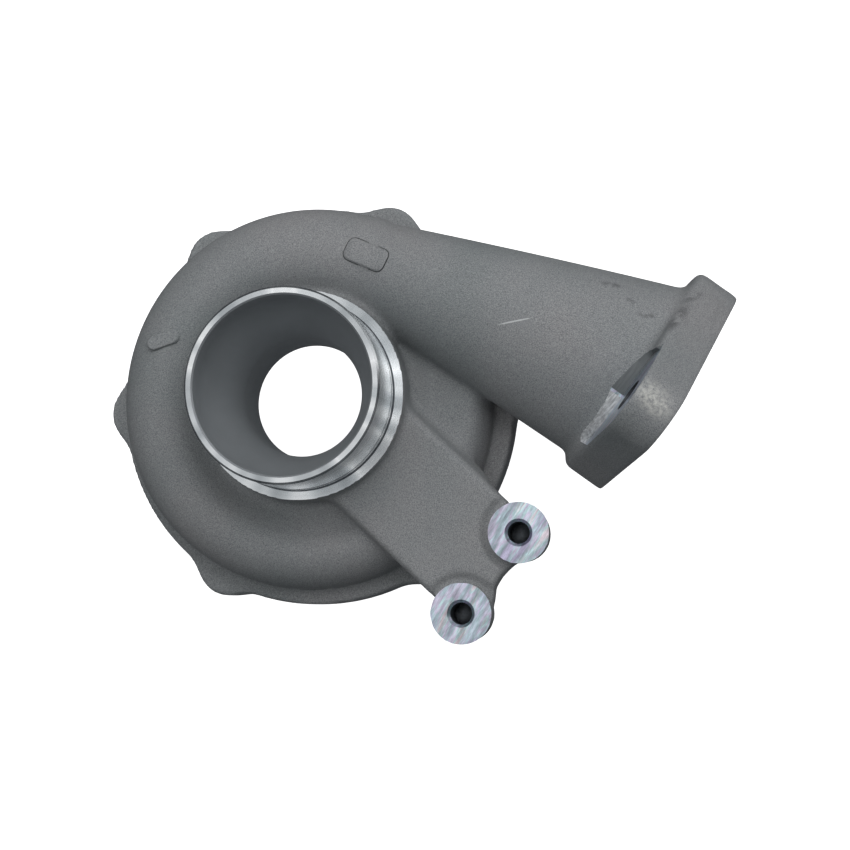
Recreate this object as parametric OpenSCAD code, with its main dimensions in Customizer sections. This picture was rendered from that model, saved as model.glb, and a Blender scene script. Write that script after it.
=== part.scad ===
// Compressor housing of a turbocharger: one aluminium casting with machined faces.
// Millimetres. The origin is where the wheel axis meets the machined back face,
// and +Z runs along that axis towards the air inlet.

/* [Inlet stub] */
// Outer diameter of the machined stub that the intake hose is clamped on
inlet_od = 60; // [52:0.5:70]
// Bore diameter at the mouth of the stub
inlet_bore_d = 54.8; // [44:0.2:56]
// Height of the stub's rim above the back face
rim_z = 61.5; // [56:0.5:75]
// Edge chamfer on the rim
rim_chamfer = 0.6; // [0.2:0.1:1]
// Diameter of the machined shoulder at the foot of the stub
shoulder_d = 66.8; // [64:0.2:72]
// Height of the shoulder above the back face
shoulder_z = 37; // [34:0.5:42]
// Depth of the machined band on the shoulder's edge
shoulder_band = 1.6; // [1:0.1:3]

/* [Wheel bore] */
// Diameter of the throat in front of the wheel
throat_d = 37.8; // [32:0.2:42]
// Height at which the inlet taper reaches the throat
throat_top_z = 29.5; // [24:0.5:32]
// Height at which the throat opens into the wheel contour
throat_end_z = 13; // [11:0.5:16]
// Depth of the straight mouth before the inlet taper begins
mouth_depth = 6; // [3:0.5:12]
// Diameter of the wheel contour where it meets the diffuser wall
contour_d = 51.8; // [46:0.2:58]
// Height of the diffuser wall above the back face
diffuser_z = 8; // [7.5:0.1:9]
// Outer diameter of the diffuser gap
diffuser_d = 102; // [98:1:104]

/* [Back flange] */
// Diameter of the flange that meets the back plate
back_flange_d = 130.4; // [127:0.2:136]
// Thickness of the flange and its lugs
back_flange_t = 9.5; // [9:0.5:12]
// Diameter of the register that centres the back plate
register_d = 110; // [107:0.5:112]
// Depth of the register
register_depth = 4; // [3:0.1:4.2]
// Distance of each lug's hole from the wheel axis
lug_circle_r = 61; // [60:0.25:63]
// Radius of a lug's round end
lug_r = 9; // [8:0.25:11]
// Radius of the hollow corners between lug and flange
lug_blend_r = 7; // [3:0.5:10]
// Tapping drill diameter of the lug holes
lug_hole_d = 5; // [4.2:0.1:6]
// Depth of the lug holes
lug_hole_depth = 7.5; // [6:0.5:8]

/* [Scroll] */
// Passage radius where the scroll starts
passage_start_r = 4; // [3:0.1:5]
// Passage radius where the scroll leaves into the outlet pipe
passage_end_r = 11.2; // [9.5:0.1:12]
// Wall thickness of the casting round the passage
wall = 4.3; // [3.5:0.1:5]
// How much taller than round the passage is in the scroll, above and below its centre
passage_rise = 1.5; // [0:0.1:2.5]
// Outer radius of the scroll at its start
scroll_start_or = 57.2; // [56.5:0.1:60]
// Outer radius of the scroll at its end
scroll_end_or = 62.6; // [61:0.1:64]
// Height of the passage floor above the back face
passage_floor_z = 7; // [6:0.1:7.5]
// Angle at which the passage starts, by the tongue
scroll_start_a = 3; // [0:1:6]
// Angle at which the scroll runs out into the outlet pipe
scroll_end_a = 66; // [60:1:70]
// Diameter of the flat land round the neck
land_d = 80; // [76:1:90]
// Height of the land above the back face
land_z = 24; // [20:0.5:30]

/* [Outlet pipe] */
// Length of the pipe's centre line in plan, from the scroll to the outlet face
pipe_len = 103.8; // [90:0.1:120]
// Half width of the pipe outside, at the outlet face
pipe_end_half_w = 33.6; // [31:0.2:35]
// Most that the pipe narrows inside a straight taper, on its way to the flange
pipe_waist = 0.5; // [0:0.1:2]
// Most that the pipe flares where it runs into the flange
pipe_flare = 0.8; // [0:0.1:1]
// Passage radius at the outlet face
pipe_end_r = 22; // [20:0.2:24.6]
// Height of the outlet's centre above the back face
outlet_z = 15; // [12:0.5:24]
// Rise of the centre line per millimetre where it leaves the scroll
pipe_start_rise = 0.25; // [0.15:0.01:0.35]

/* [Outlet flange] */
// Thickness of the outlet flange
outlet_flange_t = 14.5; // [11:0.5:18]
// Direction of the outlet face in plan, in degrees below +X
outlet_face_a = 35.9; // [28:0.1:38]
// Tilt of the outlet face towards the back, in degrees
outlet_pitch = 10.9; // [5:0.1:16]
// Diameter of the machined outlet bore
outlet_bore_d = 50; // [42:0.5:52]
// Depth of the machined outlet bore
outlet_bore_depth = 7; // [5:0.5:9]
// Half spacing of the two bolts along the flange's long side
bolt_half_long = 37; // [34:0.25:40]
// Sideways offset of each bolt from the flange's long axis
bolt_offset = 10.5; // [8:0.25:13]
// Diameter of the flange's bolt holes
bolt_hole_d = 10.5; // [8:0.1:11]
// Radius of the flange's round ends about the bolts
bolt_lobe_r = 12.5; // [10:0.1:14]
// Half width of the flange across its short side
outlet_half_w = 37; // [36:0.1:42]
// Radius of the flange's corners on its short side
outlet_corner_r = 13.5; // [10:0.5:22]
// Radius of the machined seats under the bolt heads
spot_r = 10; // [8:0.25:10.5]
// Sideways step between the two overlapping plunges of each seat
spot_step = 8.4; // [4:0.2:9]
// Depth of the machined seats
spot_depth = 1.2; // [0.4:0.1:1.5]

/* [Actuator arm] */
// Direction of the arm in degrees, from +X
arm_a = -43.2; // [-46:0.1:-40]
// Height of the arm's upper face above the back face
arm_z = 31.5; // [30:0.25:34]
// Thickness of the arm's plate
arm_t = 10; // [8:0.5:12]
// Edge of the arm on the outlet side, from its centre line
arm_edge_out = 19.7; // [18:0.1:22]
// Edge of the arm on the far side, from its centre line
arm_edge_in = 17.5; // [16:0.1:20]
// Distance of the arm's end from the wheel axis
arm_end = 84.5; // [83:0.1:88]
// Distance along the arm of the boss on the outlet side
boss_out_s = 79.5; // [78:0.1:82]
// Distance along the arm of the other boss
boss_in_s = 83.4; // [82:0.1:86]
// Distance of each boss from the arm's centre line
boss_t = 15.1; // [14.5:0.1:17]
// Diameter of the machined boss faces
boss_d = 19; // [17:0.1:21]
// Draft of the bosses, as the radius lost from face to foot
boss_draft = 0.8; // [0.2:0.1:1.5]
// Height of the boss faces above the back face
boss_z = 33.5; // [32:0.25:36]
// Height of each boss from face to foot
boss_len = 16; // [14:0.5:20]
// Tapping drill diameter of the boss holes
boss_hole_d = 6.8; // [5:0.1:8.5]
// Depth of the boss holes
boss_hole_depth = 13; // [10:0.5:13]
// Diameter of the countersink at each boss hole
boss_sink_d = 8.6; // [8:0.1:10]

/* [Cast marks] */
// Length of the raised blank pad on the scroll
pad_l = 14; // [10:0.5:18]
// Width of the pad
pad_w = 7; // [5:0.5:9]
// Angle of the pad about the wheel axis
pad_a = 64; // [60:1:80]
// Distance of the pad from the wheel axis
pad_r = 48.9; // [45:0.1:52]
// Height of the pad above the crest of the scroll
pad_h = 0.8; // [0.4:0.1:1.2]
// Length of the raised stub mark on the far side of the scroll
mark_l = 10; // [7:0.5:12]
// Width of the mark
mark_w = 5; // [3:0.5:6]
// Distance of the mark from the wheel axis, to the left
mark_x = -46; // [-48:0.5:-44]
// Distance of the mark from the wheel axis, upwards
mark_y = 19.5; // [17:0.5:22]
// Direction of the mark from +X
mark_a = 25; // [0:1:60]
// Height of the mark's flat top above the back face
mark_z = 33.3; // [32:0.1:34]

/* [Hidden] */
cast_colour = [0.66, 0.68, 0.68];
bore_fn = 96;
eps = 0.01;
cut = 1;

// Angles of the six lugs about the wheel axis
lug_angles = [6, 67, 125, 181.7, 240.5, 306];

// Scroll: everything follows the fraction f of the way round, from the tongue to the end
scroll_turn = 360 + scroll_start_a - scroll_end_a;
scroll_steps = 30;
pipe_steps = 12;
ring_sides = 24;
// The scroll's outer form starts this much before its passage, so that the tongue is closed
tongue_f = 0.016;
// The pipe's outer form is rooted a little way inside the end of the scroll
root_f = 0.98;
root_inset = 0.8;
// Below its centre the scroll's wall drops nearly straight, but less so towards the end
skirt_power = 0.4;
skirt_run = 6;
// Fractions of the pipe's length where its outer form starts, and where it and its core end
outer_start_t = 0.02;
outer_end_t = 0.96;
flare_t = 0.76;
// Scales the waist's curve so that it is 1 at its deepest
waist_gain = 27 / 4;
core_end_t = 1.03;
function scroll_angle(f) = scroll_start_a - f * scroll_turn;
function passage_r(f) = sqrt(pow(passage_start_r, 2) * (1 - f) + pow(passage_end_r, 2) * f);
function outer_reach(f) = scroll_start_or + (scroll_end_or - scroll_start_or) * sqrt(max(f, 0));
function scroll_r(f) = outer_reach(f) - wall - passage_r(f);
function scroll_z(f) = passage_floor_z + passage_r(f) + passage_rise;

// Outlet pipe: a straight line in plan, and a smooth curve in height
pipe_dir_a = scroll_end_a - 90;
pipe_start = [scroll_r(1) * cos(scroll_end_a), scroll_r(1) * sin(scroll_end_a)];
outlet_c = [pipe_start.x + pipe_len * cos(pipe_dir_a),
            pipe_start.y + pipe_len * sin(pipe_dir_a), outlet_z];
function blend_z(t) =
    scroll_z(1) * (2 * pow(t, 3) - 3 * t * t + 1)
    + pipe_len * pipe_start_rise * (pow(t, 3) - 2 * t * t + t)
    + outlet_z * (3 * t * t - 2 * pow(t, 3))
    + pipe_len * tan(outlet_pitch) * (t * t - pow(t, 3));
function mix(a, b, t) = a + (b - a) * t;

// A ring of the sweep: [centre, plan direction, half width, half height, power of the lower half]
function scroll_ring(f, grow) =
    [[scroll_r(f) * cos(scroll_angle(f)), scroll_r(f) * sin(scroll_angle(f)), scroll_z(f)],
     scroll_angle(f) - 90, passage_r(f) + grow, passage_r(f) + passage_rise + grow,
     grow > 0 ? mix(skirt_power, 1, pow(f, skirt_run)) : 1];
function pipe_ring(t, half_w, half_h) =
    [[pipe_start.x + t * pipe_len * cos(pipe_dir_a),
      pipe_start.y + t * pipe_len * sin(pipe_dir_a), blend_z(t)],
     pipe_dir_a, half_w, half_h, 1];
function pipe_passage_r(t) = mix(passage_end_r, pipe_end_r, t);
function pipe_passage_h(t) = mix(passage_end_r + passage_rise, pipe_end_r, t);
function flare(t) = pipe_flare * pow(max(0, (t - flare_t) / (outer_end_t - flare_t)), 2);
function waist(t) = pipe_waist * waist_gain * t * pow(1 - t, 2);
function pipe_outer_w(t) = mix(passage_end_r + wall, pipe_end_half_w, t) - waist(t) + flare(t);
function pipe_outer_h(t) = pipe_passage_h(t) + wall + flare(t);

// Points of one ring, counted round it from the outer side upwards
function ring_points(ring) =
    [for (i = [0:ring_sides - 1])
        let (a = 360 * i / ring_sides,
             power = i > ring_sides / 2 ? ring[4] : 1,
             side = ring[2] * sign(cos(a)) * pow(abs(cos(a)), power),
             up = ring[3] * sign(sin(a)) * pow(abs(sin(a)), power))
        [ring[0].x - side * sin(ring[1]), ring[0].y + side * cos(ring[1]), ring[0].z + up]];

// Small steps of the turned inlet body
neck_inset = 0.4;
core_inset = 2;
land_slope_w = 5;
land_slope_h = 4;
land_crown = 1;

// Outline of the side land
side_land_points = [[20, -30], [20, 28], [40, 24], [57.2, 15], [57.2, -8], [54.6, -20], [48, -32]];
land_corner = 3;

// Arm: local x along the arm, local y towards the outlet side
boss_places = [[boss_out_s, boss_t], [boss_in_s, -boss_t]];
arm_root = 25;
end_hollow = [[5.5, -9.6], [3.2, -5.6], [0.8, -2.3], [0, 1.5], [0, 4.5], [0.5, 8.1]];

// Flange corners on the short side
outlet_corner_y = outlet_half_w - outlet_corner_r;

// A tube or a core swept through the rings, with flat ends
module sweep(rings) {
    pts = [for (r = rings) each ring_points(r)];
    n = ring_sides;
    last = len(rings) - 1;
    sides = [for (k = [0:last - 1], i = [0:n - 1])
        let (a = k * n + i, b = k * n + (i + 1) % n)
        each [[a, b + n, b], [a, a + n, b + n]]];
    first_cap = [for (i = [0:n - 1]) i];
    last_cap = [for (i = [n - 1:-1:0]) last * n + i];
    polyhedron(points = pts, faces = concat(sides, [first_cap, last_cap]), convexity = 6);
}

// Outer form of the scroll
module scroll() {
    color(cast_colour)
    sweep(concat(
        [scroll_ring(-tongue_f, wall)],
        [for (k = [0:scroll_steps]) scroll_ring(k / scroll_steps, wall)]));
}

// Outer form of the pipe that leads from the scroll to the outlet flange
module outlet_pipe() {
    color(cast_colour)
    sweep(concat(
        [scroll_ring(root_f, wall - root_inset)],
        [for (k = [0:pipe_steps])
            let (t = mix(outer_start_t, outer_end_t, k / pipe_steps))
            pipe_ring(t, pipe_outer_w(t), pipe_outer_h(t))]));
}

// Air passage through the scroll and the outlet pipe
module air_passage() {
    sweep(concat(
        [for (k = [0:scroll_steps]) scroll_ring(k / scroll_steps, 0)],
        [for (k = [1:pipe_steps])
            let (t = core_end_t * k / pipe_steps)
            pipe_ring(t, pipe_passage_r(t), pipe_passage_h(t))]));
}

// Inlet stub, shoulder, neck and the land round the neck, turned as one body
module inlet_body() {
    neck_r = shoulder_d / 2 - neck_inset;
    core_r = register_d / 2 - core_inset;
    color(cast_colour)
    rotate_extrude($fn = bore_fn)
    polygon([
        [0, register_depth + eps], [core_r, register_depth + eps],
        [core_r, back_flange_t], [land_d / 2 + land_slope_w, land_z - land_slope_h],
        [land_d / 2, land_z], [neck_r, land_z + land_crown],
        [neck_r, shoulder_z - shoulder_band], [shoulder_d / 2, shoulder_z - shoulder_band],
        [shoulder_d / 2, shoulder_z], [inlet_od / 2, shoulder_z],
        [inlet_od / 2, rim_z - rim_chamfer], [inlet_od / 2 - rim_chamfer, rim_z],
        [0, rim_z]]);
}

// Flat land on the outlet side, between the neck, the arm and the outlet pipe
module side_land() {
    color(cast_colour)
    translate([0, 0, back_flange_t - eps])
    linear_extrude(land_z - back_flange_t + eps)
    offset(r = land_corner)
    offset(delta = -land_corner)
    polygon(side_land_points);
}

// Bore from the inlet mouth through the throat to the wheel contour and the diffuser
module wheel_bore() {
    mouth_r = inlet_bore_d / 2;
    throat_r = throat_d / 2;
    taper_top = rim_z - mouth_depth;
    taper_steps = 8;
    contour_steps = 6;
    rotate_extrude($fn = bore_fn)
    polygon(concat(
        [[0, rim_z + cut], [mouth_r, rim_z + cut]],
        [for (k = [0:taper_steps])
            let (t = k / taper_steps)
            [mix(mouth_r, throat_r, (1 - cos(180 * t)) / 2), mix(taper_top, throat_top_z, t)]],
        [for (k = [0:contour_steps])
            let (a = 90 * k / contour_steps)
            [throat_r + (contour_d / 2 - throat_r) * (1 - cos(a)),
             throat_end_z - (throat_end_z - diffuser_z) * sin(a)]],
        [[diffuser_d / 2, diffuser_z], [diffuser_d / 2, register_depth - cut],
         [0, register_depth - cut]]));
}

// Flange for the back plate, with six lugs blended into its rim
module back_flange() {
    color(cast_colour)
    linear_extrude(back_flange_t)
    offset(r = -lug_blend_r)
    offset(delta = lug_blend_r)
    union() {
        circle(d = back_flange_d, $fn = 72);
        for (a = lug_angles)
            rotate(a)
            translate([lug_circle_r, 0])
            circle(r = lug_r, $fn = 36);
    }
}

// Register and the blind tapped holes, cut from the back
module back_cuts() {
    translate([0, 0, -cut])
    cylinder(h = register_depth + cut, d = register_d, $fn = bore_fn);
    for (a = lug_angles)
        rotate(a)
        translate([lug_circle_r, 0, -cut])
        cylinder(h = lug_hole_depth + cut, d = lug_hole_d, $fn = 24);
}

// Space below the machined back face, kept clear of the outlet pipe for the back plate
module back_clearance() {
    clear_h = 20;
    clear_w = 4;
    translate([0, 0, -clear_h])
    cylinder(h = clear_h, r = back_flange_d / 2 + clear_w, $fn = bore_fn);
}

// Slanted frame of the outlet: local Z points out of the outlet face
module at_outlet() {
    translate(outlet_c)
    rotate([0, 90 + outlet_pitch, -outlet_face_a])
    children();
}

// Two bolt flange with round ends
module outlet_flange() {
    color(cast_colour)
    at_outlet()
    translate([0, 0, -outlet_flange_t])
    linear_extrude(outlet_flange_t)
    hull() {
        for (s = [-1, 1]) {
            translate([s * bolt_half_long, s * bolt_offset])
            circle(r = bolt_lobe_r, $fn = 48);
            translate([0, s * outlet_corner_y])
            circle(r = outlet_corner_r, $fn = 48);
        }
    }
}

// Outlet bore, bolt holes and the seats under the bolt heads
module outlet_cuts() {
    seat_reach = 22;
    face_reach = 12;
    at_outlet() {
        cylinder(h = face_reach, r = bolt_half_long + bolt_lobe_r, $fn = 48);
        translate([0, 0, -outlet_bore_depth])
        cylinder(h = outlet_bore_depth + cut, d = outlet_bore_d, $fn = bore_fn);
        for (s = [-1, 1])
            translate([s * bolt_half_long, s * bolt_offset, 0]) {
                translate([0, 0, -outlet_flange_t - cut])
                cylinder(h = outlet_flange_t + 2 * cut, d = bolt_hole_d, $fn = 36);
                for (e = [-1, 1])
                    translate([0, e * spot_step, -outlet_flange_t - seat_reach])
                    cylinder(h = seat_reach + spot_depth, r = spot_r, $fn = 48);
            }
    }
}

// Arm that carries the actuator, with its two bosses
module actuator_arm() {
    color(cast_colour)
    rotate(arm_a) {
        translate([0, 0, arm_z - arm_t])
        linear_extrude(arm_t)
        polygon(concat(
            [[arm_root, -arm_edge_in], [boss_in_s - boss_d / 2, -arm_edge_in], [boss_in_s, -boss_t]],
            [for (p = end_hollow) [arm_end + p.x, p.y]],
            [[boss_out_s, boss_t], [boss_out_s - boss_d / 2, arm_edge_out], [arm_root, arm_edge_out]]));
        for (p = boss_places)
            translate([p.x, p.y, boss_z - boss_len])
            cylinder(h = boss_len, r1 = boss_d / 2 - boss_draft, r2 = boss_d / 2, $fn = 48);
    }
}

// Blind tapped holes in the bosses, with their countersinks
module boss_cuts() {
    sink = (boss_sink_d - boss_hole_d) / 2;
    rotate(arm_a)
    for (p = boss_places)
        translate([p.x, p.y, 0]) {
            translate([0, 0, boss_z - boss_hole_depth])
            cylinder(h = boss_hole_depth + cut, d = boss_hole_d, $fn = 36);
            translate([0, 0, boss_z - sink])
            cylinder(h = sink + eps, d1 = boss_hole_d, d2 = boss_sink_d + 2 * eps, $fn = 36);
        }
}

// Raised blank pad on the crest of the scroll
module blank_pad() {
    crest_z = scroll_z(1) + passage_end_r + passage_rise + wall;
    corner_r = 1.5;
    pad_drop = 3;
    color(cast_colour)
    rotate(pad_a)
    translate([pad_r, 0, crest_z - pad_drop])
    linear_extrude(pad_drop + pad_h)
    offset(r = corner_r)
    square([pad_w - 2 * corner_r, pad_l - 2 * corner_r], center = true);
}

// Raised stub mark with round ends
module stub_mark() {
    mark_drop = 4;
    color(cast_colour)
    translate([mark_x, mark_y, mark_z - mark_drop])
    rotate(mark_a)
    linear_extrude(mark_drop)
    offset(r = mark_w / 2)
    square([mark_l - mark_w, eps], center = true);
}

// The whole casting
module compressor_housing() {
    color(cast_colour)
    difference() {
        union() {
            inlet_body();
            back_flange();
            scroll();
            outlet_pipe();
            outlet_flange();
            actuator_arm();
            side_land();
            blank_pad();
            stub_mark();
        }
        air_passage();
        wheel_bore();
        back_cuts();
        outlet_cuts();
        boss_cuts();
        back_clearance();
    }
}

compressor_housing();
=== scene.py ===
"""Looks of the compressor housing: a cast body with real fillets, cut by its machined faces.

The casting is worked out as a field of distances on a fine grid, turned into a mesh,
and then machined with exact cutters, as the real part is. Lengths here are in
millimetres until a mesh is made, and every Blender object is in metres.
"""
import math

import bpy
import numpy as np
import openvdb
from mathutils import Matrix, Vector


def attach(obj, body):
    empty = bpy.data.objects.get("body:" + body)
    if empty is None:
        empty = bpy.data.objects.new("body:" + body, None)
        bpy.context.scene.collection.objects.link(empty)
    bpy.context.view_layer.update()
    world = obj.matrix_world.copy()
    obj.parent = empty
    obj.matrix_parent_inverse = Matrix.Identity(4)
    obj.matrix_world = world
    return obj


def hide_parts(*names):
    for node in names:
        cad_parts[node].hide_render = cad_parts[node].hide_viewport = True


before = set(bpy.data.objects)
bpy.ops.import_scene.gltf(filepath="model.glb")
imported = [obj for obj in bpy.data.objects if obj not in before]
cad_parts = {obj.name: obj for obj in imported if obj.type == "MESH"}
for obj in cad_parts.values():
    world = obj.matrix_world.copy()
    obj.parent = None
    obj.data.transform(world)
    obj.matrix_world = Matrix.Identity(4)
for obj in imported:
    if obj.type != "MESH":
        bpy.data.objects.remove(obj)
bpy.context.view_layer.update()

MM = 0.001
STEP = 0.95  # spacing of the grid
BAND = 3.0  # the field's values are kept as far as this from the skin
FAR = 30.0  # value of the field well away from a form

# Sizes, as in the source.
INLET_R, RIM_Z, SHOULDER_R, SHOULDER_Z, BAND_Z = 30.0, 61.5, 33.4, 37.0, 35.4
MOUTH_R, THROAT_R, TAPER_TOP, THROAT_TOP, THROAT_END = 27.4, 18.9, 55.5, 29.5, 13.0
WALL, RISE = 4.3, 1.5
START_A, END_A = 3.0, 66.0
START_R, END_R = 4.0, 11.2
START_OR, END_OR = 57.2, 62.6
FLOOR_Z, LAND_Z = 7.0, 24.0
PIPE_LEN, PIPE_HALF_W, PIPE_END_R, PIPE_WAIST = 103.8, 33.6, 22.0, 0.5
WAIST_GAIN = 27 / 4  # scales the waist's curve so that its deepest point is 1
OUTLET_Z, START_RISE = 15.0, 0.25
FACE_A, PITCH = math.radians(35.9), math.radians(10.9)
FLANGE_T, BOLT_LONG, BOLT_SIDE = 14.5, 37.0, 10.5
LOBE_R, FLANGE_HALF_W, CORNER_R = 12.5, 37.0, 13.5
OUTLET_BORE_R, OUTLET_BORE_DEPTH, BOLT_R = 25.0, 7.0, 5.25
SEAT_DEPTH, SEAT_FAR, SEAT_NEAR, SEAT_RIDGE = 1.2, 7.9, -28.9, -10.9
ARM_A = math.radians(-43.2)
ARM_Z, ARM_T, BOSS_Z, BOSS_R = 31.5, 10.0, 33.5, 9.5
BOSSES = [(79.5, 15.1), (83.4, -15.1)]
ARM_OUTLINE = [(25, -17.5), (73.9, -17.5), (83.4, -15.1), (90.0, -9.6), (87.7, -5.6), (85.3, -2.3), (84.5, 1.5),
               (84.5, 4.5), (85.0, 8.1), (79.5, 15.1), (70, 19.7), (25, 19.7)]
SIDE_LAND = [(20, -30), (20, 28), (40, 24), (57.2, 15), (57.2, -8), (54.6, -20), (48, -32)]
LUGS = [6, 67, 125, 181.7, 240.5, 306]
LUG_CIRCLE, LUG_R, BACK_R, BACK_T = 61.0, 9.0, 65.2, 9.5
LUG_HOLE_R, LUG_HOLE_DEPTH = 2.5, 7.5
REGISTER_R, REGISTER_DEPTH, DIFFUSER_R, DIFFUSER_Z, CONTOUR_R = 55.0, 4.0, 51.0, 8.0, 25.9
THREAD_PITCH, TAP_R, CREST_R, TAP_DEPTH, TIP_DEPTH = 1.25, 3.4, 4.0, 13.0, 14.6
COUNTERSINK_R, COUNTERSINK_DEPTH = 4.3, 0.9
PAD, PAD_TURN = (21.3, 43.6), -25
MARK, MARK_TURN = (-45.3, 18.8, 0), 18

# Cast edges and fillets, drafts, and the stock that is left for machining.
PIPE_FILLET, BACK_FILLET, NECK_FILLET, LAND_FILLET, ARM_FILLET, FLANGE_FILLET = 3.0, 1.4, 4.0, 2.6, 2.6, 3.2
LUG_BLEND, BACK_EDGE, LAND_EDGE, ARM_EDGE, FLANGE_EDGE, FACE_EDGE = 5.5, 1.0, 5.0, 2.4, 3.2, 2.0
LAND_DRAFT, ARM_DRAFT, BOSS_DRAFT = 0.17, 0.22, 0.05
HOLLOW_R, HOLLOW_EDGE, BOSS_FILLET = 2.3, 1.6, 0.5
STOCK, FACE_STOCK, NECK_STOCK = 0.8, 1.0, 0.6

TURN = 360 + START_A - END_A
PIPE_DIR = math.radians(END_A - 90)


def passage_r(f):
    return np.sqrt(START_R**2 * (1 - f) + END_R**2 * f)


def outer_reach(f):
    return START_OR + (END_OR - START_OR) * np.sqrt(f)


def scroll_r(f):
    return outer_reach(f) - WALL - passage_r(f)


def mix(a, b, t):
    return a + (b - a) * t


P0 = np.array([math.cos(math.radians(END_A)), math.sin(math.radians(END_A))]) * scroll_r(1.0)
P1 = P0 + PIPE_LEN * np.array([math.cos(PIPE_DIR), math.sin(PIPE_DIR)])
OUTLET = (Matrix.Translation((P1[0], P1[1], OUTLET_Z)) @ Matrix.Rotation(-FACE_A, 4, "Z")
          @ Matrix.Rotation(math.pi / 2 + PITCH, 4, "Y"))


def pipe_z(t):
    return ((FLOOR_Z + END_R + RISE) * (2 * t**3 - 3 * t * t + 1) + PIPE_LEN * START_RISE * (t**3 - 2 * t * t + t)
            + OUTLET_Z * (3 * t * t - 2 * t**3) + PIPE_LEN * math.tan(PITCH) * (t * t - t**3))


# Distance fields.
LOW, HIGH = np.array([-73.0, -81.0, -39.0]), np.array([143.0, 71.0, 67.5])
COUNT = np.ceil((HIGH - LOW) / STEP).astype(int) + 1
axes = [np.arange(n, dtype=np.float32) * STEP + low for n, low in zip(COUNT, LOW)]
X, Y, Z = np.meshgrid(*axes, indexing="ij", sparse=True)
R = np.sqrt(X * X + Y * Y)


def join(a, b, k):
    """Union with a rounded inner corner."""
    h = np.maximum(k - np.abs(a - b), 0) / k
    return np.minimum(a, b) - h * h * k * 0.25


def meet(a, b, k):
    """Intersection with a rounded outer corner."""
    return -join(-a, -b, k)


def slab(z0, z1):
    return np.maximum(z0 - Z, Z - z1)


def polygon(px, py, points):
    """Signed distance to a closed polygon, negative inside."""
    best = np.full(np.broadcast(px, py).shape, 1e9, np.float32)
    inside = np.zeros(best.shape, bool)
    for (ax, ay), (bx, by) in zip(points, points[1:] + points[:1]):
        ex, ey = bx - ax, by - ay
        wx, wy = px - ax, py - ay
        t = np.clip((wx * ex + wy * ey) / (ex * ex + ey * ey), 0, 1)
        best = np.minimum(best, (wx - ex * t) ** 2 + (wy - ey * t) ** 2)
        if ey:
            inside ^= ((ay > py) != (by > py)) & (px < ax + ex * (py - ay) / ey)
    return np.where(inside, -np.sqrt(best), np.sqrt(best))


def scroll_field():
    """The scroll's outer form: sections that grow with the angle, with a nearly upright wall below."""
    angle = np.degrees(np.arctan2(Y, X))
    turn = np.mod(START_A - angle, 360.0) / TURN
    gap = 360.0 / TURN
    f = np.where(turn <= 1, turn, np.where(turn > (1 + gap) / 2, 0.0, 1.0)).astype(np.float32)
    a = np.radians(np.where(turn <= 1, angle, np.where(f > 0.5, END_A, START_A)))
    c, s = np.cos(a), np.sin(a)
    radial = X * c + Y * s
    along = np.abs(-X * s + Y * c)
    half_w, half_h = passage_r(f) + WALL, passage_r(f) + RISE + WALL
    out, up = np.abs(radial - scroll_r(f)), Z - FLOOR_Z - passage_r(f) - RISE
    power = np.where(up > 0, 2.0, 2.0 / mix(0.4, 1.0, f**6)).astype(np.float32)
    u, v = out / half_w + 1e-4, np.abs(up) / half_h + 1e-4
    k = (u**power + v**power) ** (1 / power)
    slope = np.sqrt((u ** (power - 1) / half_w) ** 2 + (v ** (power - 1) / half_h) ** 2) * k ** (1 - power)
    tube = (k - 1) / slope
    capped = np.sqrt(np.maximum(tube, 0) ** 2 + along**2)
    return np.where(turn <= 1, tube, np.where(tube > 0, capped, along))


def pipe_field():
    """The outlet pipe: round where it leaves the scroll, wide and oval at the flange."""
    dx, dy = math.cos(PIPE_DIR), math.sin(PIPE_DIR)
    t = ((X - P0[0]) * dx + (Y - P0[1]) * dy) / PIPE_LEN
    side = (Y - P0[1]) * dx - (X - P0[0]) * dy
    tc = np.clip(t, -0.03, 1.1)
    half_w = mix(END_R + WALL, PIPE_HALF_W, tc) - PIPE_WAIST * WAIST_GAIN * tc * (1 - tc) ** 2
    half_h = mix(END_R + RISE, PIPE_END_R, tc) + WALL
    up = Z - pipe_z(tc)
    k0 = np.sqrt((side / half_w) ** 2 + (up / half_h) ** 2)
    k1 = np.sqrt((side / half_w**2) ** 2 + (up / half_h**2) ** 2) + 1e-6
    tube = k0 * (k0 - 1) / k1
    return np.maximum(tube, (np.abs(t - 0.5) - 0.53) * PIPE_LEN)


def flange_field():
    """The two bolt flange, in its slanted frame."""
    inv = OUTLET.inverted()
    u, v, w = (inv[i][0] * X + inv[i][1] * Y + inv[i][2] * Z + inv[i][3] for i in range(3))
    near = (np.abs(w + 7) < 26) & (np.abs(u) < 70) & (np.abs(v) < 60)
    circles = [(BOLT_LONG, BOLT_SIDE, LOBE_R), (0, FLANGE_HALF_W - CORNER_R, CORNER_R),
               (-BOLT_LONG, -BOLT_SIDE, LOBE_R), (0, CORNER_R - FLANGE_HALF_W, CORNER_R)]
    ww = w[near]
    flat = polygon(u[near], v[near], hull_outline(circles, 72))
    field = np.full(near.shape, FAR, np.float32)
    field[near] = meet(meet(flat, -FLANGE_T - ww, FLANGE_EDGE), ww - FACE_STOCK, FACE_EDGE)
    return field


def hull_outline(circles, count):
    """Points of the convex outline round some circles."""
    points = [(cx + r * math.cos(2 * math.pi * i / count), cy + r * math.sin(2 * math.pi * i / count))
              for cx, cy, r in circles for i in range(count)]
    points = sorted(set(points))

    def half(seq):
        out = []
        for p in seq:
            while len(out) > 1 and ((out[-1][0] - out[-2][0]) * (p[1] - out[-2][1])
                                    - (out[-1][1] - out[-2][1]) * (p[0] - out[-2][0])) <= 0:
                out.pop()
            out.append(p)
        return out[:-1]

    return half(points) + half(points[::-1])


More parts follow.
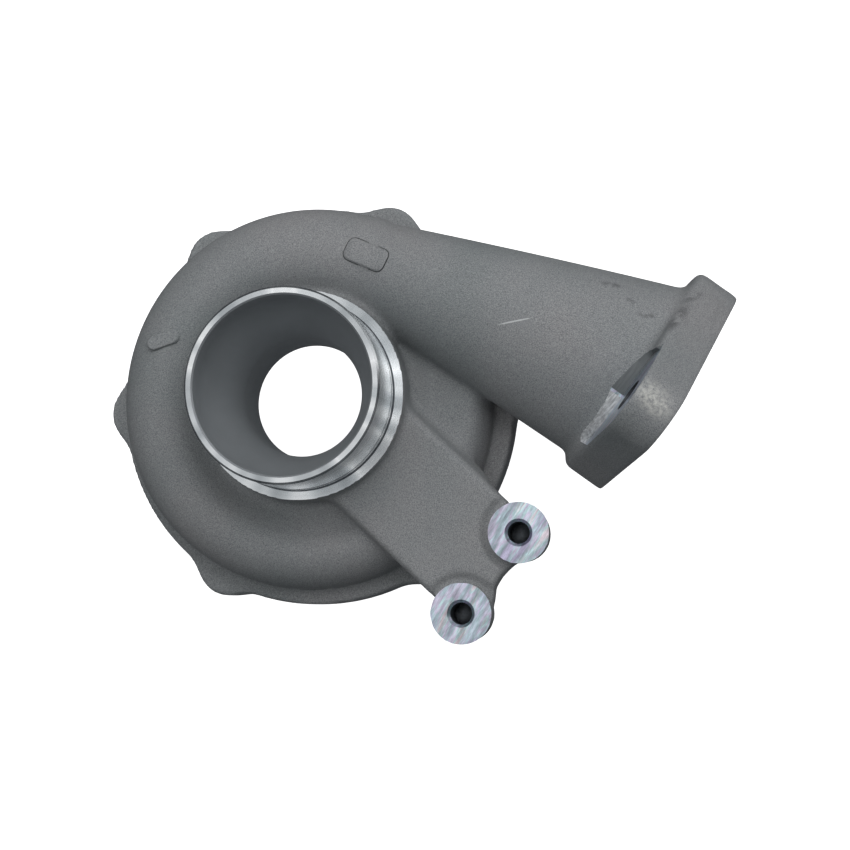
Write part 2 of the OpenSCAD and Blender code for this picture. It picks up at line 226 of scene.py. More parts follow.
def back_field():
    """Back flange with its lugs, rounded into the rim."""
    flat = R - BACK_R
    for a in LUGS:
        a = math.radians(a)
        lug = np.sqrt((X - LUG_CIRCLE * math.cos(a)) ** 2 + (Y - LUG_CIRCLE * math.sin(a)) ** 2) - LUG_R
        flat = join(flat, lug, LUG_BLEND)
    return meet(flat, slab(-FACE_STOCK, BACK_T), BACK_EDGE)


def turned_field():
    """Land round the neck, the neck and the stub, with stock left for turning."""
    land = polygon(R, Z, [(0, 2), (53, 2), (53, 9.5), (45, 20), (40, LAND_Z), (0, LAND_Z)])
    neck = np.maximum(R - SHOULDER_R + 0.2, slab(2.0, SHOULDER_Z + NECK_STOCK))
    stub = np.maximum(R - INLET_R - STOCK, slab(2.0, RIM_Z + STOCK))
    return join(land, np.minimum(neck, stub), 3.0)


def side_land_field():
    """Flat land between the neck, the arm and the outlet pipe."""
    flat = polygon(X[..., 0], Y[..., 0], SIDE_LAND)[..., None]
    return meet(flat + LAND_DRAFT * (Z - BACK_T), slab(2.0, LAND_Z), LAND_EDGE)


def arm_field():
    """The arm, drafted on the side of the land, with its bosses in soft hollows."""
    c, s = math.cos(ARM_A), math.sin(ARM_A)
    along, side = X * c + Y * s, -X * s + Y * c
    plate = polygon(along[..., 0], side[..., 0], ARM_OUTLINE)[..., None]
    draft = ARM_DRAFT * np.clip((66 - along) / 10, 0, 1) * np.clip(side / 5, 0, 1) * np.clip(ARM_Z - Z, 0, 9)
    field = meet(plate - draft, slab(ARM_Z - ARM_T, ARM_Z), ARM_EDGE)
    for bs, bt in BOSSES:
        r = np.sqrt((along - bs) ** 2 + (side - bt) ** 2)
        boss = np.maximum(r - BOSS_R + (BOSS_Z - Z) * BOSS_DRAFT, slab(BOSS_Z - 16, BOSS_Z + STOCK))
        hollow = np.sqrt((r - BOSS_R - 0.3) ** 2 + (Z - ARM_Z - 0.6) ** 2) - HOLLOW_R
        field = join(meet(field, -hollow, HOLLOW_EDGE), boss, BOSS_FILLET)
    return field


field = scroll_field()
for form, fillet in ((pipe_field, PIPE_FILLET), (back_field, BACK_FILLET), (turned_field, NECK_FILLET),
                     (side_land_field, LAND_FILLET), (arm_field, ARM_FILLET), (flange_field, FLANGE_FILLET)):
    field = join(field, form(), fillet)


def sample(point):
    """Distance field at a point."""
    g = (np.array(point) - LOW) / STEP
    i = g.astype(int)
    f = g - i
    total = 0.0
    for dx in (0, 1):
        for dy in (0, 1):
            for dz in (0, 1):
                k = (f[0] if dx else 1 - f[0]) * (f[1] if dy else 1 - f[1]) * (f[2] if dz else 1 - f[2])
                total += k * field[i[0] + dx, i[1] + dy, i[2] + dz]
    return total


def skin_z(x, y, top=48.0):
    """Height of the cast skin at a place in plan."""
    z = top
    while z > 5 and sample((x, y, z)) > 0:
        z -= 0.3
    a, b = sample((x, y, z + 0.3)), sample((x, y, z))
    return z + 0.3 * b / (b - a)


def mesh_from(name, verts, faces):
    mesh = bpy.data.meshes.new(name)
    mesh.from_pydata(verts, [], faces)
    mesh.validate()
    return mesh


def mesh_of_field(name, values):
    """Mesh of the surface where the field is zero."""
    grid = openvdb.FloatGrid(BAND)
    grid.copyFromArray(np.ascontiguousarray(np.clip(values, -BAND, BAND).astype(np.float32)))
    points, tris, quads = grid.convertToPolygons(isovalue=0.0, adaptivity=0.0)
    points = (points * STEP + LOW) * MM
    faces = [tuple(int(i) for i in q) for q in quads] + [tuple(int(i) for i in q) for q in tris]
    return mesh_from(name, [tuple(map(float, p)) for p in points], faces)


# Materials.
CAST, TURNED, BORE, MILLED, RECESS_SHADE, GROOVE_SHADE, SEAT_SHADE, BRUSHED = SLOTS = range(8)

# Marks on the skin in plan: x, y, turn, half length, half width and, for the dark patches, the strength. The last
# dark patch lies along the crease between pipe and flange and is painted shade.
DARK_PATCHES_AND_CREASE_SHADE = [(97.6, 32.3, -12, 4.2, 1.5, 0.7), (104.6, 25.6, -42, 4.5, 1.3, 0.6), (108.0, 22.2, -10, 3.8, 1.6, 0.8),
           (122.5, 28.6, 40, 5.5, 2.0, 0.5), (117.6, 20.5, 56, 8.0, 2.6, 0.6)]
SCRATCH = (68.7, 20.2, 10, 6.4, 0.3)
# painted highlight near the outlet flange
SHINE_PATCH = (110.6, -6.8, -52, 9.0, 5.8)


def new_material(name, base, metallic, roughness):
    m = bpy.data.materials.new(name)
    m.use_nodes = True
    b = m.node_tree.nodes["Principled BSDF"]
    b.inputs["Base Color"].default_value = (*base, 1)
    b.inputs["Metallic"].default_value = metallic
    b.inputs["Roughness"].default_value = roughness
    return m, m.node_tree, b


def node(tree, kind, **values):
    n = tree.nodes.new(kind)
    for key, value in values.items():
        if key in n.inputs.keys():
            n.inputs[key].default_value = value
        else:
            setattr(n, key, value)
    return n


def noise(tree, coords, scale, detail=2.0, rough=0.5):
    n = node(tree, "ShaderNodeTexNoise", Scale=scale, Detail=detail, Roughness=rough)
    tree.links.new(coords, n.inputs["Vector"])
    return n.outputs["Fac"]


def ramp(tree, source, stops):
    n = tree.nodes.new("ShaderNodeValToRGB")
    e = n.color_ramp.elements
    while len(e) < len(stops):
        e.new(0.5)
    for item, (at, colour) in zip(e, stops):
        item.position = at
        item.color = (*colour, 1) if len(colour) == 3 else colour
    tree.links.new(source, n.inputs["Fac"])
    return n.outputs["Color"]


def object_coords(tree):
    return tree.nodes.new("ShaderNodeTexCoord").outputs["Object"]


def patch(tree, coords, centre, turn, half_l, half_w, inner=0.6):
    """Mask of an oval area of the surface, seen along Z, that fades out at its edge. Sizes are in mm."""
    place = node(tree, "ShaderNodeMapping", vector_type="TEXTURE")
    place.inputs["Location"].default_value = (centre[0] * MM, centre[1] * MM, 0)
    place.inputs["Rotation"].default_value = (0, 0, math.radians(turn))
    place.inputs["Scale"].default_value = (half_l * MM, half_w * MM, 1)
    tree.links.new(coords, place.inputs["Vector"])
    length = node(tree, "ShaderNodeVectorMath", operation="LENGTH")
    tree.links.new(place.outputs[0], length.inputs[0])
    fade = node(tree, "ShaderNodeMapRange", interpolation_type="SMOOTHSTEP")
    for key, value in (("From Min", inner), ("From Max", 1.0), ("To Min", 1.0), ("To Max", 0.0)):
        fade.inputs[key].default_value = value
    tree.links.new(length.outputs["Value"], fade.inputs["Value"])
    return fade.outputs[0]


def blend(tree, kind, factor, a, b):
    n = node(tree, "ShaderNodeMix", data_type="RGBA", blend_type=kind)
    for socket, value in (("Factor", factor), ("A", a), ("B", b)):
        if isinstance(value, bpy.types.NodeSocket):
            tree.links.new(value, n.inputs[socket])
        else:
            n.inputs[socket].default_value = value if isinstance(value, float) else (*value, 1)
    return n.outputs["Result"]


def product(tree, a, b):
    n = node(tree, "ShaderNodeMath", operation="MULTIPLY")
    for i, value in enumerate((a, b)):
        if isinstance(value, bpy.types.NodeSocket):
            tree.links.new(value, n.inputs[i])
        else:
            n.inputs[i].default_value = value
    return n.outputs[0]


def cast_material():
    """Blasted casting: light grey with a fine grain, a few dark patches with painted shade along the crease between
    pipe and flange, and one painted highlight.
    """
    m, t, b = new_material("cast_skin", (0.3, 0.3, 0.3), 0.0, 0.58)
    co = object_coords(t)
    fine, mid, broad = noise(t, co, 3200, 2, 0.7), noise(t, co, 420, 3), noise(t, co, 26, 4)
    tones = [(0.3, (0.262, 0.284, 0.291)), (0.5, (0.296, 0.309, 0.318)), (0.7, (0.322, 0.324, 0.332))]
    speck = ramp(t, fine, [(0.27, (0.5, 0.51, 0.52)), (0.5, (1, 1, 1)), (0.73, (1.58, 1.56, 1.54))])
    colour = blend(t, "MULTIPLY", 1.0, ramp(t, broad, tones), speck)
    cloud = ramp(t, noise(t, co, 190, 4, 0.6), [(0.42, (0, 0, 0)), (0.56, (1, 1, 1))])
    # dark patches near the flange; the one along the crease between pipe and flange is painted shade
    for x, y, turn, half_l, half_w, amount in DARK_PATCHES_AND_CREASE_SHADE:
        mask = product(t, patch(t, co, (x, y), turn, half_l, half_w, 0.2), product(t, cloud, amount))
        colour = blend(t, "MIX", mask, colour, (0.07, 0.07, 0.075))
    x, y, turn, half_l, half_w = SCRATCH
    mask = product(t, patch(t, co, (x, y), turn, half_l, half_w), product(t, cloud, 0.8))
    colour = blend(t, "MIX", mask, colour, (0.75, 0.77, 0.78))
    # painted highlight: a bright patch with added metal shine near the outlet flange
    x, y, turn, half_l, half_w = SHINE_PATCH
    bright = ramp(t, noise(t, co, 700, 3, 0.7), [(0.36, (0, 0, 0)), (0.6, (1, 1, 1))])
    shine_mask = product(t, patch(t, co, (x, y), turn, half_l, half_w, 0.3), bright)
    colour = blend(t, "MIX", product(t, shine_mask, 0.75), colour, (0.72, 0.72, 0.68))
    t.links.new(colour, b.inputs["Base Color"])
    t.links.new(product(t, shine_mask, 0.7), b.inputs["Metallic"])
    grain = node(t, "ShaderNodeBump", Strength=0.45, Distance=0.00014)
    t.links.new(fine, grain.inputs["Height"])
    waves = node(t, "ShaderNodeBump", Strength=0.25, Distance=0.0003)
    t.links.new(mid, waves.inputs["Height"])
    t.links.new(grain.outputs["Normal"], waves.inputs["Normal"])
    t.links.new(waves.outputs["Normal"], b.inputs["Normal"])
    return m


def turned_material():
    """Bright turned metal with rings about the wheel axis."""
    m, t, b = new_material("turned_metal", (0.8, 0.8, 0.8), 1.0, 0.24)
    co = object_coords(t)
    split = t.nodes.new("ShaderNodeSeparateXYZ")
    t.links.new(co, split.inputs[0])
    flat = node(t, "ShaderNodeCombineXYZ")
    t.links.new(split.outputs["X"], flat.inputs["X"])
    t.links.new(split.outputs["Y"], flat.inputs["Y"])
    length = node(t, "ShaderNodeVectorMath", operation="LENGTH")
    t.links.new(flat.outputs[0], length.inputs[0])
    rings = node(t, "ShaderNodeCombineXYZ")
    t.links.new(length.outputs["Value"], rings.inputs["X"])
    t.links.new(split.outputs["Z"], rings.inputs["Z"])
    lines = noise(t, rings.outputs[0], 9000, 2, 0.6)
    bands = noise(t, rings.outputs[0], 1300, 2, 0.6)
    turn = node(t, "ShaderNodeVectorMath", operation="NORMALIZE")
    t.links.new(flat.outputs[0], turn.inputs[0])
    tones = [(0.36, (0.42, 0.45, 0.47)), (0.47, (0.68, 0.71, 0.73)), (0.55, (0.95, 0.97, 0.98)),
             (0.66, (0.55, 0.58, 0.6))]
    colour = ramp(t, noise(t, turn.outputs[0], 1.7, 2, 0.5), tones)
    t.links.new(colour, b.inputs["Base Color"])
    rough = node(t, "ShaderNodeMapRange")
    rough.inputs["To Min"].default_value, rough.inputs["To Max"].default_value = 0.16, 0.34
    t.links.new(bands, rough.inputs["Value"])
    t.links.new(rough.outputs[0], b.inputs["Roughness"])
    bump = node(t, "ShaderNodeBump", Strength=0.22, Distance=0.00004)
    t.links.new(lines, bump.inputs["Height"])
    t.links.new(bump.outputs["Normal"], b.inputs["Normal"])
    b.inputs["Anisotropic"].default_value = 0.6
    tangent = node(t, "ShaderNodeTangent", direction_type="RADIAL", axis="Z")
    t.links.new(tangent.outputs[0], b.inputs["Tangent"])
    return m


def bore_material():
    """Skin of the air's way: smoother than the outside."""
    m, t, b = new_material("bore_skin", (0.2, 0.22, 0.23), 0.3, 0.42)
    co = object_coords(t)
    colour = ramp(t, noise(t, co, 70, 4), [(0.3, (0.335, 0.357, 0.375)), (0.7, (0.38, 0.405, 0.425))])
    t.links.new(colour, b.inputs["Base Color"])
    bump = node(t, "ShaderNodeBump", Strength=0.15, Distance=0.00006)
    t.links.new(noise(t, co, 900, 3), bump.inputs["Height"])
    t.links.new(bump.outputs["Normal"], b.inputs["Normal"])
    return m


def milled_material():
    """Fly-cut faces: slanting tool marks with a faint play of colour."""
    m, t, b = new_material("milled_metal", (0.7, 0.72, 0.76), 1.0, 0.32)
    co = object_coords(t)
    turn = node(t, "ShaderNodeMapping", vector_type="TEXTURE")
    turn.inputs["Rotation"].default_value = (0, 0, math.radians(58))
    turn.inputs["Scale"].default_value = (5, 1, 1)
    t.links.new(co, turn.inputs["Vector"])
    lines = noise(t, turn.outputs[0], 620, 4, 0.7)
    tones = [(0.36, (0.56, 0.53, 0.7)), (0.44, (0.52, 0.66, 0.72)), (0.52, (0.66, 0.6, 0.76)),
             (0.58, (0.55, 0.74, 0.77)), (0.66, (0.74, 0.66, 0.72))]
    tint = ramp(t, noise(t, turn.outputs[0], 300, 2, 0.5), tones)
    shade = ramp(t, lines, [(0.3, (0.5, 0.5, 0.5)), (0.5, (0.92, 0.92, 0.92)), (0.68, (1.4, 1.4, 1.4))])
    t.links.new(blend(t, "MULTIPLY", 1.0, tint, shade), b.inputs["Base Color"])
    bump = node(t, "ShaderNodeBump", Strength=0.35, Distance=0.00005)
    t.links.new(lines, bump.inputs["Height"])
    t.links.new(bump.outputs["Normal"], b.inputs["Normal"])
    return m


def cut_material(name, dark, light, metallic, roughness):
    """Spot faced wall with lengthwise streaks."""
    m, t, b = new_material(name, light, metallic, roughness)
    turn = node(t, "ShaderNodeMapping", vector_type="TEXTURE")
    turn.inputs["Rotation"].default_value = (0, 0, math.radians(52))
    turn.inputs["Scale"].default_value = (12, 1, 1)
    t.links.new(object_coords(t), turn.inputs["Vector"])
    colour = ramp(t, noise(t, turn.outputs[0], 1500, 3, 0.6), [(0.35, dark), (0.65, light)])
    t.links.new(colour, b.inputs["Base Color"])
    return m


def recess_shade_material():
    """Machined metal in the holes and in the stub's groove, painted dark as the shade down in them."""
    m, t, b = new_material("recess_painted_shade", (0.1, 0.11, 0.12), 0.8, 0.38)
    co = object_coords(t)
    colour = ramp(t, noise(t, co, 800, 3), [(0.3, (0.09, 0.1, 0.115)), (0.7, (0.16, 0.175, 0.19))])
    t.links.new(colour, b.inputs["Base Color"])
    return m


MATERIALS = [cast_material(), turned_material(), bore_material(), milled_material(), recess_shade_material(),
             # painted shade: the dark grey on the faces of the groove round the pad
             new_material("groove_painted_shade", (0.12, 0.13, 0.13), 0.0, 0.7)[0],
             # painted shade: a dark copy of the spot faced metal, for the far half of the seats
             cut_material("seat_shade_cut", (0.14, 0.155, 0.16), (0.18, 0.195, 0.2), 0.1, 0.5),
             cut_material("brushed_cut", (0.44, 0.45, 0.46), (0.82, 0.84, 0.85), 0.25, 0.38)]

# Cutters.
cutters = []


def finish_cutter(name, verts, faces, slot, place=Matrix.Identity(4)):
    """Object of a cutter, with the slots of all materials. The slot is a number, or a function of the face."""
    mesh = mesh_from(name, [tuple(place @ Vector(v) * MM) for v in verts], faces)
    for m in MATERIALS:
        mesh.materials.append(m)
    for p in mesh.polygons:
        p.material_index = slot if isinstance(slot, int) else slot(p)
    ob = bpy.data.objects.new(name, mesh)
    bpy.context.scene.collection.objects.link(ob)
    cutters.append(ob)
    return ob


def lathe(name, profile, slot, place=Matrix.Identity(4), sides=160):
    """Solid of revolution about local Z. The profile runs from the axis, at the top, to the axis."""
    verts, rings = [], []
    for r, z in profile:
        if r < 1e-6:
            rings.append([len(verts)])
            verts.append((0, 0, z))
        else:
            rings.append(list(range(len(verts), len(verts) + sides)))
            verts += [(r * math.cos(2 * math.pi * i / sides), r * math.sin(2 * math.pi * i / sides), z)
                      for i in range(sides)]
    faces = []
    for a, b in zip(rings, rings[1:]):
        for i in range(sides):
            j = (i + 1) % sides
            if len(a) == 1 and len(b) > 1:
                faces.append((a[0], b[i], b[j]))
            elif len(b) == 1 and len(a) > 1:
                faces.append((a[i], b[0], a[j]))
            elif len(a) > 1:
                faces.append((a[i], b[i], b[j], a[j]))
    return finish_cutter(name, verts, faces, slot, place)


def at(matrix, x, y, z):
    return matrix @ Matrix.Translation((x, y, z))


def stub_slot(c):
    """Turned all over, but painted dark in the groove as its shade, and cast where the cutter only clears the skin.
    """
    r = math.hypot(c.x, c.y)
    if r > SHOULDER_R + 0.05 and c.z < BAND_Z + 0.01:
        return CAST
    # painted shade: the groove's faces take the dark recess material
    return RECESS_SHADE if c.z < SHOULDER_Z - 0.2 and r < INLET_R + 0.6 else TURNED


# Outside of the stub, its rim and the shoulder.
lathe("cut_stub", [(0, 70), (34.3, 70), (34.3, BAND_Z), (SHOULDER_R, BAND_Z), (SHOULDER_R, SHOULDER_Z - 0.3),
                   (SHOULDER_R - 0.3, SHOULDER_Z), (INLET_R + 0.45, SHOULDER_Z), (INLET_R + 0.4, SHOULDER_Z - 0.6),
                   (INLET_R + 0.1, SHOULDER_Z - 0.6), (INLET_R + 0.1, SHOULDER_Z + 3.4), (INLET_R, SHOULDER_Z + 3.5),
                   (INLET_R, RIM_Z - 0.6), (INLET_R - 0.6, RIM_Z), (0, RIM_Z)],
      lambda p: stub_slot(p.center / MM))

# Bore, throat, wheel contour and diffuser face.
bore = [(0, 66), (MOUTH_R + 0.5, 66), (MOUTH_R + 0.5, RIM_Z), (MOUTH_R, RIM_Z - 0.5)]
bore += [(mix(MOUTH_R, THROAT_R, (1 - math.cos(math.pi * i / 24)) / 2), mix(TAPER_TOP, THROAT_TOP, i / 24))
         for i in range(25)]
bore += [(THROAT_R + (CONTOUR_R - THROAT_R) * (1 - math.cos(math.pi * i / 28)),
          THROAT_END - (THROAT_END - DIFFUSER_Z) * math.sin(math.pi * i / 28)) for i in range(15)]
bore += [(DIFFUSER_R, DIFFUSER_Z), (DIFFUSER_R, 3), (0, 3)]
lathe("cut_bore", bore, BORE)

# Back: register, flat face and lug holes.
BACK_CLEAR = LUG_CIRCLE + LUG_R - 0.8
lathe("cut_register", [(0, REGISTER_DEPTH), (REGISTER_R, REGISTER_DEPTH), (REGISTER_R, 0.4), (REGISTER_R + 0.4, 0),
                       (BACK_CLEAR, 0), (BACK_CLEAR, -20), (0, -20)], TURNED)
for k, a in enumerate(LUGS):
    a = math.radians(a)
    lathe(f"cut_lug_{k}", [(0, LUG_HOLE_DEPTH + 1.4), (LUG_HOLE_R, LUG_HOLE_DEPTH), (LUG_HOLE_R, 0.5),
                           (LUG_HOLE_R + 0.5, 0), (LUG_HOLE_R + 0.5, -2), (0, -2)], RECESS_SHADE,
          Matrix.Translation((LUG_CIRCLE * math.cos(a), LUG_CIRCLE * math.sin(a), 0)), 32)


def prism(name, outline, z0, z1, slot, place, bevel=0.0):
    """Upright prism on an outline, with its top edge drawn in by the bevel."""
    n = len(outline)
    cx, cy = (sum(p[i] for p in outline) / n for i in (0, 1))
    area = sum(a[0] * b[1] - b[0] * a[1] for a, b in zip(outline, outline[1:] + outline[:1]))
    if area < 0:
        outline = outline[::-1]
    verts = [(x, y, z0) for x, y in outline] + [(x, y, z1 - bevel) for x, y in outline]
    levels = 2
    if bevel:
        for i, (x, y) in enumerate(outline):
            d = math.hypot(x - cx, y - cy)
            verts.append((x - (x - cx) / d * bevel, y - (y - cy) / d * bevel, z1))
        levels = 3
    faces = [tuple(reversed(range(n))), tuple(range((levels - 1) * n, levels * n))]
    for k in range(levels - 1):
        faces += [(k * n + i, k * n + (i + 1) % n, (k + 1) * n + (i + 1) % n, (k + 1) * n + i) for i in range(n)]
    return finish_cutter(name, verts, faces, slot, place)


def seat_height(t):
    """Height of the seat's wall along its length, from the far end to the near one."""
    return float(np.interp(t, [0, 0.12, 0.25, 0.5, 0.52, 0.62, 0.78, 0.94, 1],
                           [0.3, 2.0, 3.1, 4.3, 4.0, 3.2, 2.8, 3.0, 1.7]))


def seat_slot(p):
    """The far half of a seat is a dark copy of the cut metal as painted shade, the near half brushed, and the ridge
    between them takes bright milled metal as a painted highlight.
    """
    place = OUTLET.inverted() @ (p.center / MM)
    beyond = (-place.y if place.x > 0 else place.y) - SEAT_RIDGE
    # painted highlight on the ridge, painted shade on the far half
    return MILLED if abs(beyond) < 0.4 else SEAT_SHADE if beyond > 0 else BRUSHED


def seat_outline(side):
    """The seat's wall follows the foot of the pipe, in two shallow arcs that meet at a ridge."""
    path = []
    for k in range(41):
        t = k / 40
        v = mix(SEAT_FAR, SEAT_NEAR, t)
        w = SEAT_DEPTH - FLANGE_T - seat_height(t)
        u = 46.0
        while u > 5 and sample(OUTLET @ Vector((-u * side, v * side, w))) > 0:
            u -= 0.25
        a, b = (sample(OUTLET @ Vector((-q * side, v * side, w))) for q in (u + 0.25, u))
        path.append((-(u + 0.25 * b / (b - a)) * side, v * side))
    return path + [(-60 * side, SEAT_NEAR * side), (-60 * side, SEAT_FAR * side)]


# Outlet: face, bore, bolt holes and seats.
lathe("cut_outlet_face", [(0, 14), (54, 14), (54, 0), (OUTLET_BORE_R + 0.6, 0), (OUTLET_BORE_R, -0.6),
                          (OUTLET_BORE_R, -OUTLET_BORE_DEPTH), (0, -OUTLET_BORE_DEPTH)], TURNED, OUTLET)
for s in (-1, 1):
    lathe(f"cut_bolt_{s + 1}", [(0, 1), (BOLT_R, 1), (BOLT_R, -FLANGE_T - 1), (0, -FLANGE_T - 1)], RECESS_SHADE,
          at(OUTLET, s * BOLT_LONG, s * BOLT_SIDE, 0), 48)
    prism(f"cut_seat_{s + 1}", seat_outline(-s), SEAT_DEPTH - FLANGE_T - 22, SEAT_DEPTH - FLANGE_T, seat_slot, OUTLET)

# Bosses: milled faces, countersinks and tapped holes.
ARM = Matrix.Rotation(ARM_A, 4, "Z")
thread = [(0, BOSS_Z + 1), (COUNTERSINK_R, BOSS_Z + 1), (COUNTERSINK_R, BOSS_Z), (TAP_R, BOSS_Z - COUNTERSINK_DEPTH)]
z = BOSS_Z - COUNTERSINK_DEPTH
while z - THREAD_PITCH > BOSS_Z - TAP_DEPTH:
    thread += [(CREST_R, z - THREAD_PITCH * 0.5), (TAP_R, z - THREAD_PITCH)]
    z -= THREAD_PITCH
thread += [(TAP_R, BOSS_Z - TAP_DEPTH), (0, BOSS_Z - TIP_DEPTH)]
for k, (bs, bt) in enumerate(BOSSES):
    lathe(f"cut_boss_{k}", [(0, BOSS_Z + 4), (BOSS_R + 2, BOSS_Z + 4), (BOSS_R + 2, BOSS_Z), (0, BOSS_Z)], MILLED,
          at(ARM, bs, bt, 0), 96)
    lathe(f"cut_thread_{k}", thread,
          lambda p: MILLED if p.center.z / MM > BOSS_Z - COUNTERSINK_DEPTH - 0.02 else RECESS_SHADE,
          at(ARM, bs, bt, 0), 40)


def passage_cutter():
    """The air passage, swept from the tongue to the outlet."""
    sides, verts, rings = 40, [], []
    stations = []
    for k in range(73):
        f = k / 72
        a = math.radians(START_A - f * TURN)
        rr = float(scroll_r(f))
        pr = float(passage_r(f))
        stations.append(((rr * math.cos(a), rr * math.sin(a), FLOOR_Z + pr + RISE), a - math.pi / 2, pr, pr + RISE))
    for k in range(1, 25):
        t = 1.03 * k / 24
        c = mix(P0, P1, t)
        stations.append(((c[0], c[1], pipe_z(t)), PIPE_DIR, mix(END_R, PIPE_END_R, t),
                         mix(END_R + RISE, PIPE_END_R, t)))
    for c, a, r, h in stations:
        rings.append(list(range(len(verts), len(verts) + sides)))
        for i in range(sides):
            q = 2 * math.pi * i / sides
            verts.append((c[0] - r * math.cos(q) * math.sin(a), c[1] + r * math.cos(q) * math.cos(a),
                          c[2] + h * math.sin(q)))
    faces = [(a[i], b[i], b[(i + 1) % sides], a[(i + 1) % sides])
             for a, b in zip(rings, rings[1:]) for i in range(sides)]
    faces += [tuple(rings[0]), tuple(reversed(rings[-1]))]
    finish_cutter("cut_passage", verts, faces, BORE)


passage_cutter()


def rounded(half_l, half_w, r, count=8):
    """Outline of a rectangle with round corners."""
    quarter = math.pi / 2
    return [(sx * (half_l - r) + r * math.cos(a0 + quarter * i / count),
             sy * (half_w - r) + r * math.sin(a0 + quarter * i / count))
            for sx, sy, a0 in ((1, 1, 0), (-1, 1, quarter), (-1, -1, 2 * quarter), (1, -1, 3 * quarter))
            for i in range(count + 1)]


def draped(name, outline, drop, rise, bevel, slot, walls):
    """Prism whose top follows the cast skin at some height above it. Its walls can have a slot of their own."""
    n = len(outline)
    cx, cy = (sum(p[i] for p in outline) / n for i in (0, 1))
    verts = [(x, y, skin_z(x, y) - drop) for x, y in outline]
    for scale, low in ((1.0, bevel), (1 - bevel / 4, 0.0), (0.7, 0.0), (0.35, 0.0)):
        inner = [(cx + (x - cx) * scale, cy + (y - cy) * scale) for x, y in outline]
        verts += [(x, y, skin_z(x, y) + rise - low) for x, y in inner]
    top = len(verts)
    verts.append((cx, cy, skin_z(cx, cy) + rise))
    faces = [tuple(reversed(range(n)))]
    for k in range(4):
        faces += [(k * n + i, k * n + (i + 1) % n, (k + 1) * n + (i + 1) % n, (k + 1) * n + i) for i in range(n)]
    faces += [(4 * n + i, 4 * n + (i + 1) % n, top) for i in range(n)]
    return finish_cutter(name, verts, faces, lambda p: walls if p.index <= n else slot)


def placed(outline, centre, turn):
    """Outline turned by some degrees and moved to a centre."""
    c, s = math.cos(math.radians(turn)), math.sin(math.radians(turn))
    return [(centre[0] + x * c - y * s, centre[1] + x * s + y * c) for x, y in outline]


# Raised marks, added to the casting. The pad stands in a thin groove whose faces are painted dark as the shade in it.
draped("cut_pad_groove", placed(rounded(7.4, 4.05, 2.5), PAD, PAD_TURN), 0.3, 2.5, 0.0, GROOVE_SHADE, GROOVE_SHADE)
added = [draped("pad", placed(rounded(7.1, 3.75, 2.2), PAD, PAD_TURN), 3.0, 0.85, 0.4, CAST, CAST),
         prism("mark", rounded(5.5, 2.4, 2.39), 29.0, 34.2, CAST,
               Matrix.Translation(MARK) @ Matrix.Rotation(math.radians(MARK_TURN), 4, "Z"), 0.5)]


def volume(mesh):
    """Signed volume in cubic metres, negative where the faces look inwards."""
    mesh.calc_loop_triangles()
    v = np.empty(len(mesh.vertices) * 3)
    mesh.vertices.foreach_get("co", v)
    v = v.reshape(-1, 3)
    t = np.empty(len(mesh.loop_triangles) * 3, int)
    mesh.loop_triangles.foreach_get("vertices", t)
    a, b, c = (v[t.reshape(-1, 3)[:, i]] for i in range(3))
    return float(np.einsum("ij,ij->i", a, np.cross(b, c)).sum() / 6)


body_mesh = mesh_of_field("housing", field)
for mesh in [body_mesh] + [c.data for c in cutters]:
    if volume(mesh) < 0:
        mesh.flip_normals()
for m in MATERIALS:
    body_mesh.materials.append(m)
housing = bpy.data.objects.new("housing", body_mesh)
bpy.context.scene.collection.objects.link(housing)
for c in sorted(cutters, key=lambda c: (c in added, not c.name.startswith("cut_pad"))):
    mod = housing.modifiers.new(c.name, "BOOLEAN")
    mod.operation, mod.object, mod.solver = "UNION" if c in added else "DIFFERENCE", c, "MANIFOLD"
dg = bpy.context.evaluated_depsgraph_get()
cut_mesh = bpy.data.meshes.new_from_object(housing.evaluated_get(dg), depsgraph=dg)
housing.modifiers.clear()
housing.data = cut_mesh
for c in cutters:
    bpy.data.objects.remove(c)
cut_mesh.shade_smooth()
cut_mesh.set_sharp_from_angle(angle=math.radians(32))
print("housing faces", len(cut_mesh.polygons), "volume mm3", round(volume(cut_mesh) * 1e9),
      "slots", np.bincount([p.material_index for p in cut_mesh.polygons], minlength=len(SLOTS)).tolist())

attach(housing, "root")
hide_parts("compressor_housing")

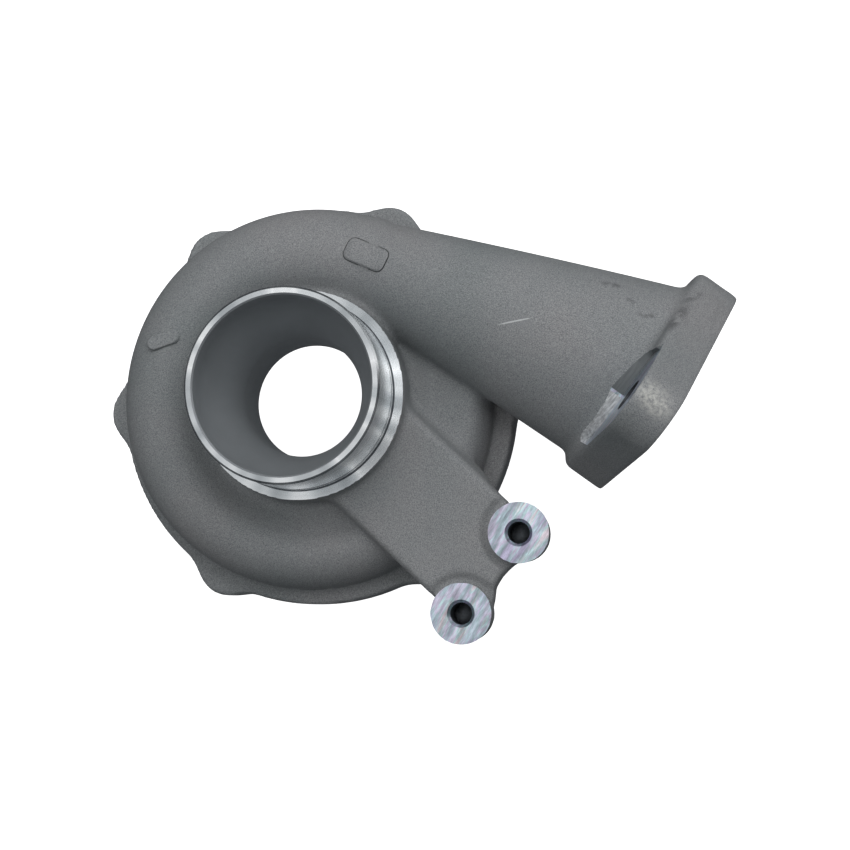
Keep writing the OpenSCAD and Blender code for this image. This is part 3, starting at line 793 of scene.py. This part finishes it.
# Camera, as fitted to the photograph.
CAMERA_MM = (121.03, -66.94, 570.96)
Z_AXIS_SEEN = (-0.1502, -0.1032, -0.9832)  # the part's Z axis in the camera's frame: right, down, forward
z_axis = Vector(Z_AXIS_SEEN).normalized()
x_axis = (Vector((1, 0, 0)) - z_axis.x * z_axis).normalized()
y_axis = z_axis.cross(x_axis)
right, down, forward = (Vector((x_axis[i], y_axis[i], z_axis[i])) for i in range(3))
cam_data = bpy.data.cameras.new("camera")
cam_data.lens, cam_data.sensor_width = 74.558, 36.0
cam_data.clip_start, cam_data.clip_end = 0.01, 10.0
cam = bpy.data.objects.new("camera", cam_data)
bpy.context.scene.collection.objects.link(cam)
cam.matrix_world = Matrix.Translation(Vector(CAMERA_MM) * MM) @ Matrix((right, -down, -forward)).transposed().to_4x4()
bpy.context.scene.camera = cam

# Floor and light.
FLOOR_HALF, FLOOR_LEVEL = 15, -0.06  # in metres
corners = [(x * FLOOR_HALF, y * FLOOR_HALF, FLOOR_LEVEL) for x, y in ((-1, -1), (1, -1), (1, 1), (-1, 1))]
floor_mesh = mesh_from("floor", corners, [(0, 1, 2, 3)])
floor_mat, _, floor_shader = new_material("floor_white", (0.9, 0.9, 0.9), 0.0, 0.9)
floor_shader.inputs["Emission Color"].default_value = (1, 1, 1, 1)
floor_shader.inputs["Emission Strength"].default_value = 1.0
floor_mesh.materials.append(floor_mat)
floor = bpy.data.objects.new("floor", floor_mesh)
bpy.context.scene.collection.objects.link(floor)
floor.visible_diffuse = floor.visible_glossy = floor.visible_shadow = False


def area_light(name, place, aim, size, power):
    """Square light, in metres and watts."""
    data = bpy.data.lights.new(name, "AREA")
    data.size, data.energy = size, power
    ob = bpy.data.objects.new(name, data)
    bpy.context.scene.collection.objects.link(ob)
    ob.location = place
    ob.rotation_euler = (Vector(place) - Vector(aim)).to_track_quat("Z", "Y").to_euler()


area_light("key", (0.64, 0.7, 0.84), (0.03, 0, 0), 1.7, 9.5)
area_light("overhead", (-0.34, 0.16, 1.0), (-0.04, 0, 0), 1.5, 4.8)
world = bpy.data.worlds.new("studio")
bpy.context.scene.world = world
world.use_nodes = True
background = world.node_tree.nodes["Background"]
background.inputs["Color"].default_value = (0.9, 0.95, 1.0, 1)
background.inputs["Strength"].default_value = 0.09
bpy.context.scene.view_settings.view_transform = "Standard"
